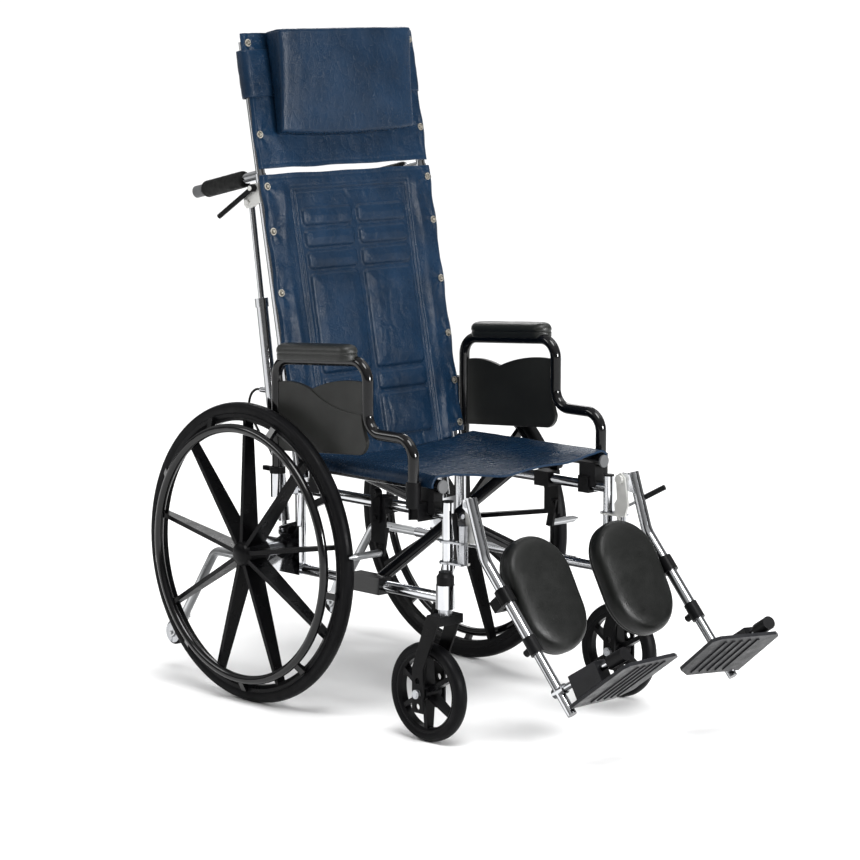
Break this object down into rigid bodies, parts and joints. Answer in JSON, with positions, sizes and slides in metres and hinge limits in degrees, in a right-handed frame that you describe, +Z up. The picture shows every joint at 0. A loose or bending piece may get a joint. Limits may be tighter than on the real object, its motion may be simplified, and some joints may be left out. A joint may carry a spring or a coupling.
{
  "type": "reclining wheelchair",
  "caption": "Reclining wheelchair with a folding cross frame, high back with headrest, elevating legrests, mag wheels, lift-off arms and anti-tippers.",
  "frame": {"origin": "centre of the overall box at floor level", "axes": "+X to the user's left, +Y to the rear, +Z up"},
  "size_m": [0.672, 1.3336, 1.3508],
  "materials": {
    "frame_chrome": "bright chrome plate",
    "leg_chrome": "bright chrome plate",
    "cylinder_chrome": "bright chrome plate",
    "hanger_steel": "zinc plated, satin",
    "black_fittings": "moulded black, fine grain",
    "mag_wheel": "moulded black composite",
    "tyre_rubber": "solid black tyre",
    "caster_rubber": "solid black tyre",
    "handrim_coat": "black coated ring",
    "fork_coat": "black powder coat",
    "arm_coat": "gloss black paint",
    "arm_pad_skin": "integral skin foam, fine grain",
    "guard_plastic": "textured black plastic",
    "footplate_plastic": "ribbed black composite",
    "calf_pad_skin": "black vinyl over foam",
    "bracket_coat": "black paint",
    "shoe_alloy": "knurled alloy",
    "grip_foam": "foam grip",
    "lever_coat": "black dipped lever",
    "cable_jacket": "black cable jacket",
    "tipper_alloy": "satin alloy",
    "tip_wheel_rubber": "black rubber",
    "brace_coat": "gloss black paint",
    "navy_vinyl": "navy grained vinyl"
  },
  "bodies": {
    "right_frame": {"side_frame_right": "frame_chrome", "frame_fittings_right": "black_fittings", "anti_tipper_right": "tipper_alloy"},
    "cross_a": {"crossbrace_a": "brace_coat"},
    "cross_b": {"crossbrace_b": "brace_coat", "seat_sling": "navy_vinyl"},
    "left_frame": {"side_frame_left": "frame_chrome", "frame_fittings_left": "black_fittings", "anti_tipper_left": "tipper_alloy"},
    "right_wheel": {"rear_wheel_right": "mag_wheel", "rear_tyre_right": "tyre_rubber", "handrim_right": "handrim_coat"},
    "right_fork": {"caster_fork_right": "fork_coat"},
    "right_caster": {"caster_wheel_right": "mag_wheel", "caster_tyre_right": "caster_rubber"},
    "right_arm": {"armrest_tube_right": "arm_coat", "armrest_pad_right": "arm_pad_skin", "skirt_guard_right": "guard_plastic"},
    "right_hanger": {"leg_hanger_right": "hanger_steel"},
    "right_leg": {"leg_tube_right": "leg_chrome"},
    "right_foot": {"foot_tube_right": "leg_chrome"},
    "right_plate": {"footplate_right": "footplate_plastic"},
    "right_calf": {"calf_pad_right": "calf_pad_skin", "calf_bracket_right": "bracket_coat"},
    "right_brake": {"brake_lever_right": "bracket_coat"},
    "right_shoe": {"brake_shoe_right": "shoe_alloy"},
    "right_cane": {"back_cane_right": "frame_chrome", "push_grip_right": "grip_foam", "back_sling": "navy_vinyl", "head_sling": "navy_vinyl", "head_pillow": "navy_vinyl"},
    "right_cylinder": {"recline_cylinder_right": "cylinder_chrome", "release_cable_right": "cable_jacket"},
    "right_rod": {"recline_rod_right": "cylinder_chrome"},
    "right_release": {"release_lever_right": "lever_coat"},
    "right_tip_wheel": {"anti_tip_wheel_right": "tip_wheel_rubber"},
    "left_wheel": {"rear_wheel_left": "mag_wheel", "rear_tyre_left": "tyre_rubber", "handrim_left": "handrim_coat"},
    "left_fork": {"caster_fork_left": "fork_coat"},
    "left_caster": {"caster_wheel_left": "mag_wheel", "caster_tyre_left": "caster_rubber"},
    "left_arm": {"armrest_tube_left": "arm_coat", "armrest_pad_left": "arm_pad_skin", "skirt_guard_left": "guard_plastic"},
    "left_hanger": {"leg_hanger_left": "hanger_steel"},
    "left_leg": {"leg_tube_left": "leg_chrome"},
    "left_foot": {"foot_tube_left": "leg_chrome"},
    "left_plate": {"footplate_left": "footplate_plastic"},
    "left_calf": {"calf_pad_left": "calf_pad_skin", "calf_bracket_left": "bracket_coat"},
    "left_brake": {"brake_lever_left": "bracket_coat"},
    "left_shoe": {"brake_shoe_left": "shoe_alloy"},
    "left_cane": {"back_cane_left": "frame_chrome", "push_grip_left": "grip_foam"},
    "left_cylinder": {"recline_cylinder_left": "cylinder_chrome", "release_cable_left": "cable_jacket"},
    "left_rod": {"recline_rod_left": "cylinder_chrome"},
    "left_release": {"release_lever_left": "lever_coat"},
    "left_tip_wheel": {"anti_tip_wheel_left": "tip_wheel_rubber"}
  },
  "joints": [
    {"name": "fold", "type": "hinge", "parent": "right_frame", "child": "cross_a", "pos_m": [-0.225, 0.03583, 0.273], "axis": [0, -1, 0], "range_deg": [0, 48], "deforming": ["seat_sling", "back_sling", "head_sling", "head_pillow"]},
    {"name": "cross_pivot", "type": "hinge", "parent": "cross_a", "child": "cross_b", "pos_m": [0, 0.03583, 0.381], "axis": [0, -1, 0], "range_deg": [-97, 0.5]},
    {"name": "left_lower_pivot", "type": "hinge", "parent": "cross_b", "child": "left_frame", "pos_m": [0.225, 0.03583, 0.273], "axis": [0, -1, 0], "range_deg": [-0.5, 49]},
    {"name": "right_wheel_spin", "type": "hinge", "parent": "right_frame", "child": "right_wheel", "pos_m": [-0.3, 0.31183, 0.305], "axis": [1, 0, 0], "continuous": true},
    {"name": "right_caster_swivel", "type": "hinge", "parent": "right_frame", "child": "right_fork", "pos_m": [-0.268, -0.22217, 0.29], "axis": [0, 0, 1], "continuous": true},
    {"name": "right_caster_spin", "type": "hinge", "parent": "right_fork", "child": "right_caster", "pos_m": [-0.268, -0.17717, 0.097], "axis": [1, 0, 0], "continuous": true},
    {"name": "right_arm_lift", "type": "slide", "parent": "right_frame", "child": "right_arm", "axis": [0, 0, 1], "range_m": [0, 0.12]},
    {"name": "right_hanger_swing", "type": "hinge", "parent": "right_frame", "child": "right_hanger", "pos_m": [-0.225, -0.18517, 0.37], "axis": [0, 0, 1], "range_deg": [-91, 0.5]},
    {"name": "right_leg_raise", "type": "hinge", "parent": "right_hanger", "child": "right_leg", "pos_m": [-0.227, -0.23017, 0.461], "axis": [-1, 0, 0], "range_deg": [-10, 48]},
    {"name": "right_foot_slide", "type": "slide", "parent": "right_leg", "child": "right_foot", "axis": [0, -0.6639, -0.7478], "range_m": [-0.03, 0.09]},
    {"name": "right_plate_flip", "type": "hinge", "parent": "right_foot", "child": "right_plate", "pos_m": [-0.227, -0.48336, 0.14215], "axis": [0, -0.8572, 0.515], "range_deg": [0, 88]},
    {"name": "right_calf_swing", "type": "hinge", "parent": "right_leg", "child": "right_calf", "pos_m": [-0.227, -0.34261, 0.30068], "axis": [0, -0.6639, -0.7478], "range_deg": [0, 90]},
    {"name": "right_lock_lever", "type": "hinge", "parent": "right_frame", "child": "right_brake", "pos_m": [-0.245, -0.01017, 0.412], "axis": [1, 0, 0], "range_deg": [0, 50]},
    {"name": "right_lock_shoe", "type": "hinge", "parent": "right_frame", "child": "right_shoe", "pos_m": [-0.24, -0.02217, 0.384], "axis": [1, 0, 0], "range_deg": [-0.5, 13.5]},
    {"name": "recline", "type": "hinge", "parent": "right_frame", "child": "right_cane", "pos_m": [-0.222, 0.24483, 0.47], "axis": [-1, 0, 0], "range_deg": [0, 64]},
    {"name": "right_cylinder_tilt", "type": "hinge", "parent": "right_frame", "child": "right_cylinder", "pos_m": [-0.225, 0.28683, 0.345], "axis": [-1, 0, 0], "range_deg": [-0.5, 57.47]},
    {"name": "right_rod_slide", "type": "slide", "parent": "right_cylinder", "child": "right_rod", "axis": [0, 0.1448, 0.9895], "range_m": [-0.11592, 0.0005]},
    {"name": "right_release_squeeze", "type": "hinge", "parent": "right_cane", "child": "right_release", "pos_m": [-0.222, 0.36142, 1.03311], "axis": [1, 0, 0], "range_deg": [0, 18], "stiffness_Nm_per_rad": 0.6, "springref_deg": -20.05},
    {"name": "right_tip_wheel_spin", "type": "hinge", "parent": "right_frame", "child": "right_tip_wheel", "pos_m": [-0.225, 0.64083, 0.08], "axis": [1, 0, 0], "continuous": true},
    {"name": "left_wheel_spin", "type": "hinge", "parent": "left_frame", "child": "left_wheel", "pos_m": [0.3, 0.31183, 0.305], "axis": [1, 0, 0], "continuous": true},
    {"name": "left_caster_swivel", "type": "hinge", "parent": "left_frame", "child": "left_fork", "pos_m": [0.268, -0.22217, 0.29], "axis": [0, 0, 1], "continuous": true},
    {"name": "left_caster_spin", "type": "hinge", "parent": "left_fork", "child": "left_caster", "pos_m": [0.268, -0.17717, 0.097], "axis": [1, 0, 0], "continuous": true},
    {"name": "left_arm_lift", "type": "slide", "parent": "left_frame", "child": "left_arm", "axis": [0, 0, 1], "range_m": [0, 0.12]},
    {"name": "left_hanger_swing", "type": "hinge", "parent": "left_frame", "child": "left_hanger", "pos_m": [0.225, -0.18517, 0.37], "axis": [0, 0, 1], "range_deg": [-0.5, 91]},
    {"name": "left_leg_raise", "type": "hinge", "parent": "left_hanger", "child": "left_leg", "pos_m": [0.227, -0.23017, 0.461], "axis": [-1, 0, 0], "range_deg": [-10, 48]},
    {"name": "left_foot_slide", "type": "slide", "parent": "left_leg", "child": "left_foot", "axis": [0, -0.6639, -0.7478], "range_m": [-0.03, 0.09]},
    {"name": "left_plate_flip", "type": "hinge", "parent": "left_foot", "child": "left_plate", "pos_m": [0.227, -0.48336, 0.14215], "axis": [0.2378, 0.8353, -0.4957], "range_deg": [-12, 76]},
    {"name": "left_calf_swing", "type": "hinge", "parent": "left_leg", "child": "left_calf", "pos_m": [0.227, -0.34261, 0.30068], "axis": [0, 0.6639, 0.7478], "range_deg": [0, 90]},
    {"name": "left_lock_lever", "type": "hinge", "parent": "left_frame", "child": "left_brake", "pos_m": [0.245, -0.01017, 0.412], "axis": [1, 0, 0], "range_deg": [0, 50]},
    {"name": "left_lock_shoe", "type": "hinge", "parent": "left_frame", "child": "left_shoe", "pos_m": [0.24, -0.02217, 0.384], "axis": [1, 0, 0], "range_deg": [-0.5, 13.5]},
    {"name": "left_cane_recline", "type": "hinge", "parent": "left_frame", "child": "left_cane", "pos_m": [0.222, 0.24483, 0.47], "axis": [-1, 0, 0], "range_deg": [-0.5, 64.5]},
    {"name": "left_cylinder_tilt", "type": "hinge", "parent": "left_frame", "child": "left_cylinder", "pos_m": [0.225, 0.28683, 0.345], "axis": [-1, 0, 0], "range_deg": [-0.5, 57.47]},
    {"name": "left_rod_slide", "type": "slide", "parent": "left_cylinder", "child": "left_rod", "axis": [0, 0.1448, 0.9895], "range_m": [-0.11592, 0.0005]},
    {"name": "left_release_squeeze", "type": "hinge", "parent": "left_cane", "child": "left_release", "pos_m": [0.222, 0.36142, 1.03311], "axis": [1, 0, 0], "range_deg": [0, 18], "stiffness_Nm_per_rad": 0.6, "springref_deg": -20.05},
    {"name": "left_tip_wheel_spin", "type": "hinge", "parent": "left_frame", "child": "left_tip_wheel", "pos_m": [0.225, 0.64083, 0.08], "axis": [1, 0, 0], "continuous": true}
  ],
  "couplings": [
    {"joint": "cross_pivot", "follows": "fold", "ratio": -2},
    {"joint": "left_lower_pivot", "follows": "fold", "ratio": 1},
    {"joint": "right_hanger_swing", "follows": "fold", "ratio": -1.875},
    {"joint": "right_lock_shoe", "follows": "right_lock_lever", "ratio": 0.26},
    {"joint": "right_cylinder_tilt", "follows": "recline", "ratio": 0.88227},
    {"joint": "right_rod_slide", "follows": "recline", "m_per_rad": -0.10288},
    {"joint": "left_hanger_swing", "follows": "fold", "ratio": 1.875},
    {"joint": "left_lock_shoe", "follows": "left_lock_lever", "ratio": 0.26},
    {"joint": "left_cane_recline", "follows": "recline", "ratio": 1},
    {"joint": "left_cylinder_tilt", "follows": "recline", "ratio": 0.88227},
    {"joint": "left_rod_slide", "follows": "recline", "m_per_rad": -0.10288}
  ]
}
